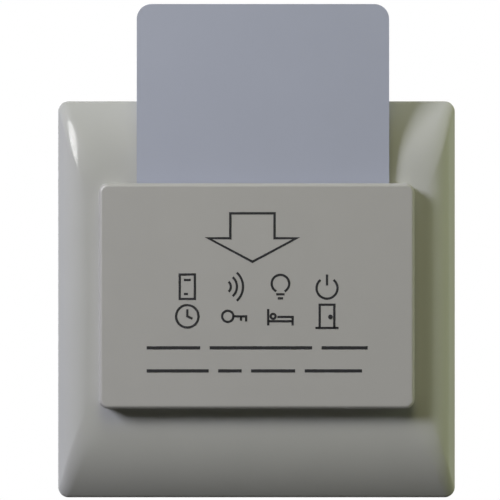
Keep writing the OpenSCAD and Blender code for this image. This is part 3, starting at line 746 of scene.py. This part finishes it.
# Each slot's material: colour, range of roughness, and for mouldings the size and depth of the grain,
# with the spread of the colour and the specular level where they differ; for metals the marks' direction
MATERIALS = {
    "plate_plastic": moulded("plate_gloss", (182, 182, 179), (0.13, 0.18), 0.8, 0.0006, 0.012, 0.1),
    "cover_plastic": moulded("cover_satin", (167, 165, 163), (0.4, 0.48), 0.22, 0.004, 0.012, 0.35),
    "card_plastic": card_stock(),
    "inlay_plastic": moulded("inlay_sheet", (196, 199, 203), (0.4, 0.5), 0.3, 0.002),
    "antenna_copper": metal("antenna_copper", (196, 138, 98), (0.3, 0.42)),
    "chip_black": moulded("chip_epoxy", (38, 38, 40), (0.45, 0.6), 0.2, 0.006),
    "base_plastic": moulded("base_satin", (176, 176, 172), (0.42, 0.52), 0.35, 0.006),
    "housing_plastic": moulded("housing_black", (48, 49, 51), (0.45, 0.58), 0.4, 0.012, 0.08),
    "screw_steel": metal("zinc_plate", (196, 197, 196), (0.22, 0.36)),
    "board_laminate": moulded("solder_mask", (46, 100, 62), (0.22, 0.32), 0.8, 0.006, 0.1),
    "coil_copper": metal("enamelled_wire", (166, 101, 64), (0.22, 0.34), (1, 1, 6)),
    "relay_black": moulded("relay_case", (36, 38, 43), (0.38, 0.5), 0.3, 0.005, 0.08),
    "film_yellow": moulded("film_dip", (184, 134, 43), (0.22, 0.34), 1.2, 0.02, 0.08),
    "sleeve_dark": moulded("shrink_sleeve", (40, 45, 68), (0.2, 0.3), 1.5, 0.01, 0.08),
    "ferrite": moulded("ferrite", (75, 75, 77), (0.55, 0.7), 0.15, 0.01, 0.1),
    "winding_tape": moulded("winding_tape", (217, 194, 122), (0.18, 0.28), 0.9, 0.008, 0.06),
    "varistor_blue": moulded("epoxy_coat", (39, 80, 143), (0.2, 0.34), 1.6, 0.03, 0.08),
    "fuse_brown": moulded("fuse_case", (106, 45, 42), (0.35, 0.48), 0.3, 0.006, 0.08),
    "crystal_can": metal("drawn_can", (201, 203, 204), (0.2, 0.34), (5, 1, 1)),
    "terminal_green": moulded("polyamide", (66, 127, 78), (0.4, 0.52), 0.4, 0.008, 0.06),
    "contact_brass": metal("tinned_brass", (205, 178, 120), (0.24, 0.38), (1, 1, 5)),
}


def dress(obj, slot, body=None, *nodes):
    """Gives a piece its material, the body that it rides on and the solids that it stands for."""
    obj.data.materials.clear()
    obj.data.materials.append(MATERIALS[slot])
    if body:
        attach(obj, body)
    if nodes:
        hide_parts(*nodes)
    return obj


# The front
dress(front_plate(), "plate_plastic", "front", "front_plate")
dress(slot_cover(), "cover_plastic", "front", "slot_cover")
cover_print = printed_symbols()
cover_print.data.materials.append(printed_ink())
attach(cover_print, "front")

# The screws: places (x, z), head (radius, thickness), thread (radius, depth, pitch) and plain neck
# (radius, y of its end)
POLES = range(1, 5)
MOUNT_PLACES = [(x * 30.15, 0) for x in SIDES]
POST_PLACES = [(x * 21.6, z * 26.6) for x in SIDES for z in SIDES]
BOARD_PLACES = [(x * 20.3, -12.4) for x in SIDES]
FINE_THREAD = (0.12, 0.5)
MOUNT_HEAD, MOUNT_THREAD, MOUNT_NECK = (4, 2.4), (2, 0.3, 0.7), (1.7, 0.3)
POST_HEAD, POST_THREAD = (2, 1.5), (1.2, *FINE_THREAD)
COVER_HEAD, COVER_THREAD = (COVER_HEAD_R, COVER_HEAD_T), (1, *FINE_THREAD)
BOARD_HEAD, BOARD_THREAD = (1.7, 1.2), (0.9, *FINE_THREAD)
POLE_HEAD, POLE_THREAD = (2.5, 2), (1.75, *FINE_THREAD)
NECK_L = 0.3


def node_screws(name, node, body, places, head, thread, out=1, neck=None):
    """Threaded screws in place of a node of plain ones, as long as the node's own box. Where no neck is
    given, a short one as thick as the thread's core is made."""
    low, high = box_mm(node)
    top, tip = (high.y, low.y) if out > 0 else (low.y, high.y)
    seat = top - out * head[1]
    shank = neck or (thread[0] - thread[1], seat - out * NECK_L)
    made = screw_set(name, places, head, seat, out, shank, thread, tip)
    return dress(made, "screw_steel", body, node)


node_screws("wall_screws", "mounting_screws", "base", MOUNT_PLACES, MOUNT_HEAD, MOUNT_THREAD, -1, MOUNT_NECK)
node_screws("case_screws", "housing_screws", "base", POST_PLACES, POST_HEAD, POST_THREAD)
node_screws("pocket_screws", "cover_screws", "front", at_bosses(), COVER_HEAD, COVER_THREAD)
node_screws("circuit_screws", "board_screws", "base", BOARD_PLACES, BOARD_HEAD, BOARD_THREAD)
for i in POLES:
    low, high = box_mm(f"terminal_screw_{i}")
    middle = (low + high) / 2
    node_screws(f"pole_screw_{i}", f"terminal_screw_{i}", f"screw_{i}", [(middle.x, middle.z)],
                POLE_HEAD, POLE_THREAD)

# The parts behind the plate, with softened edges
dress(softened("wall_base", "mounting_base", 0.25), "base_plastic", "base", "mounting_base")
dress(softened("case", "rear_housing", 0.35, 3), "housing_plastic", "base", "rear_housing")
dress(softened("pole_block", "terminal_block", 0.2), "terminal_green", "base", "terminal_block")
dress(softened("pole_bars", "terminal_contacts", 0.12), "contact_brass", "base", "terminal_contacts")
for i in POLES:
    clamp = f"terminal_clamp_{i}"
    dress(softened(f"cage_{i}", clamp, 0.15), "contact_brass", f"clamp_{i}", clamp)

# The electronics, each with its edges rounded by a width as moulding, dipping or drawing leaves them
ELECTRONICS = {
    "relay": ("relay_case", "relay_black", 0.4),
    "film_capacitor": ("film_box", "film_yellow", 0.6),
    "smoothing_capacitor": ("electrolytic_can", "sleeve_dark", 0.6),
    "transformer_core": ("core_halves", "ferrite", 0.2),
    "transformer_bobbin": ("wound_bobbin", "winding_tape", 0.2),
    "varistor": ("dipped_disc", "varistor_blue", 0.9),
    "fuse": ("fuse_cup", "fuse_brown", 0.5),
    "bridge_rectifier": ("bridge", "chip_black", 0.1),
    "reader_chip": ("reader_ic", "chip_black", 0.1),
    "controller_chip": ("logic_ic", "chip_black", 0.1),
    "crystal": ("crystal_case", "crystal_can", 0.2),
}
for node, (name, slot, width) in ELECTRONICS.items():
    dress(softened(name, node, width, 3), slot, "base", node)
dress(reader_coil(), "coil_copper", "base", "antenna_coil")

# Solids that keep their own shape
KEPT = {
    "card_front": "card_plastic",
    "card_back": "card_plastic",
    "card_inlay": "inlay_plastic",
    "card_antenna": "antenna_copper",
    "card_chip": "chip_black",
    "main_board": "board_laminate",
}
for node, slot in KEPT.items():
    dress(frame["nodes"][node], slot)

# Camera
CAMERA_AT = (-1.42, -505, 10.7)
FOCAL_PX = 2306
IMAGE_PX = 500
SENSOR_MM = 36
NEAR_CLIP = 10

# Lights: direction from the middle of the plate, distance, width and height, power and colour
LIGHTS = {
    "key": ((-1.35, -1, 0.8), 1600, (520, 520), 24.3, (0.87, 0.88, 1)),
    "top": ((0, -0.35, 0.95), 900, (500, 400), 1.9, (0.93, 1, 0.93)),
    "front_fill": ((0, -1, 0.9), 700, (300, 300), 0.65, (1, 0.93, 0.33)),
    "right_rim": ((1, -0.1, 0.1), 600, (300, 300), 1.44, (0.91, 1, 0.64)),
    "behind": ((0.5, 1, 0.6), 900, (500, 500), 7, (1, 1, 1)),
}
GLINT = ((-0.8, -1, 0.66), 800, (280, 480), 15, (1, 1, 1))
AMBIENT_LOW = (0.01, 0.009, 0.004)
AMBIENT_HIGH = (0.02, 0.019, 0.01)

# Floor: its cover fades from a share of its radius out to its edge
FLOOR_Z = -120
FLOOR_R = 450
FLOOR_STEPS = 96
FLOOR_COVER = 0.45
FLOOR_FADE_START = 0.35


def camera():
    """A camera straight in front, at the photograph's distance and height."""
    data = bpy.data.cameras.new("camera")
    data.sensor_width = SENSOR_MM
    data.lens = FOCAL_PX / IMAGE_PX * SENSOR_MM
    data.clip_start = NEAR_CLIP * MM
    cam = bpy.data.objects.new("camera", data)
    cam.location = Vector(CAMERA_AT) * MM
    cam.rotation_euler = (math.radians(90), 0, 0)
    bpy.context.scene.collection.objects.link(cam)
    bpy.context.scene.camera = cam


def area_light(name, towards, distance, size, power, rgb):
    """A soft rectangular light in a direction from the middle of the plate."""
    data = bpy.data.lights.new(name, "AREA")
    data.shape = "RECTANGLE"
    data.size, data.size_y = (s * MM for s in size)
    data.energy = power
    data.color = rgb
    light = bpy.data.objects.new(name, data)
    direction = Vector(towards).normalized()
    light.location = direction * distance * MM
    light.rotation_euler = direction.to_track_quat("Z", "Y").to_euler()
    bpy.context.scene.collection.objects.link(light)
    return light


def lights():
    """Soft lights that no gloss reflects, and an oval one that only gloss reflects."""
    for name, values in LIGHTS.items():
        area_light(name, *values).visible_glossy = False
    glint = area_light("glint", *GLINT)
    glint.data.shape = "ELLIPSE"
    glint.visible_diffuse = False


def ambient(nodes, links):
    """A dim soft light that grows from straight below to straight above."""
    background = nodes.new("ShaderNodeBackground")
    place = nodes.new("ShaderNodeTexCoord")
    split = nodes.new("ShaderNodeSeparateXYZ")
    ramp = nodes.new("ShaderNodeMapRange")
    ramp.inputs["From Min"].default_value = -1
    mix = nodes.new("ShaderNodeMix")
    mix.data_type = "RGBA"
    mix.inputs["A"].default_value = (*AMBIENT_LOW, 1)
    mix.inputs["B"].default_value = (*AMBIENT_HIGH, 1)
    links.new(place.outputs["Generated"], split.inputs["Vector"])
    links.new(split.outputs["Z"], ramp.inputs["Value"])
    links.new(ramp.outputs["Result"], mix.inputs["Factor"])
    links.new(mix.outputs["Result"], background.inputs["Color"])
    return background.outputs["Background"]


def seen(nodes, links):
    """1 for rays that see the background: from the camera, in a reflection or through glass."""
    path = nodes.new("ShaderNodeLightPath")
    total = path.outputs["Is Camera Ray"]
    for ray in ("Is Glossy Ray", "Is Transmission Ray"):
        either = nodes.new("ShaderNodeMath")
        either.operation = "MAXIMUM"
        links.new(total, either.inputs[0])
        links.new(path.outputs[ray], either.inputs[1])
        total = either.outputs["Value"]
    return total


def world():
    """White where the background is seen, and the dim ambient light on matte surfaces."""
    surroundings = bpy.data.worlds.new("world")
    surroundings.use_nodes = True
    bpy.context.scene.world = surroundings
    nodes, links = surroundings.node_tree.nodes, surroundings.node_tree.links
    white = nodes["Background"]
    white.inputs["Color"].default_value = (1, 1, 1, 1)
    white.inputs["Strength"].default_value = 1
    choose = nodes.new("ShaderNodeMixShader")
    links.new(seen(nodes, links), choose.inputs["Fac"])
    links.new(ambient(nodes, links), choose.inputs[1])
    links.new(white.outputs["Background"], choose.inputs[2])
    links.new(choose.outputs["Shader"], nodes["World Output"].inputs["Surface"])


def floor():
    """A pale floor below the part, fading out towards its edge."""
    bm = bmesh.new()
    edge = circle(FLOOR_R, 0, steps=FLOOR_STEPS)
    bm.faces.new([bm.verts.new((x * MM, z * MM, 0)) for x, _, z in edge])
    obj = piece("floor", bm)
    obj.location.z = FLOOR_Z * MM
    finish = Finish("floor_paint").set(Specular_IOR_Level=0.1)
    finish.colour((246, 246, 245), spread=0.01, size=60).roughness(0.8, 0.9, size=20)
    away = finish.nodes.new("ShaderNodeVectorMath")
    away.operation = "LENGTH"
    finish.links.new(finish.place, away.inputs[0])
    fade = (FLOOR_R * MM * FLOOR_FADE_START, FLOOR_R * MM)
    cover = finish.spread(away.outputs["Value"], FLOOR_COVER, 0, fade)
    finish.links.new(cover, finish.shader.inputs["Alpha"])
    obj.data.materials.append(finish.material)
    obj.visible_diffuse = obj.visible_glossy = False


camera()
lights()
world()
floor()
bpy.context.scene.view_settings.view_transform = "Standard"
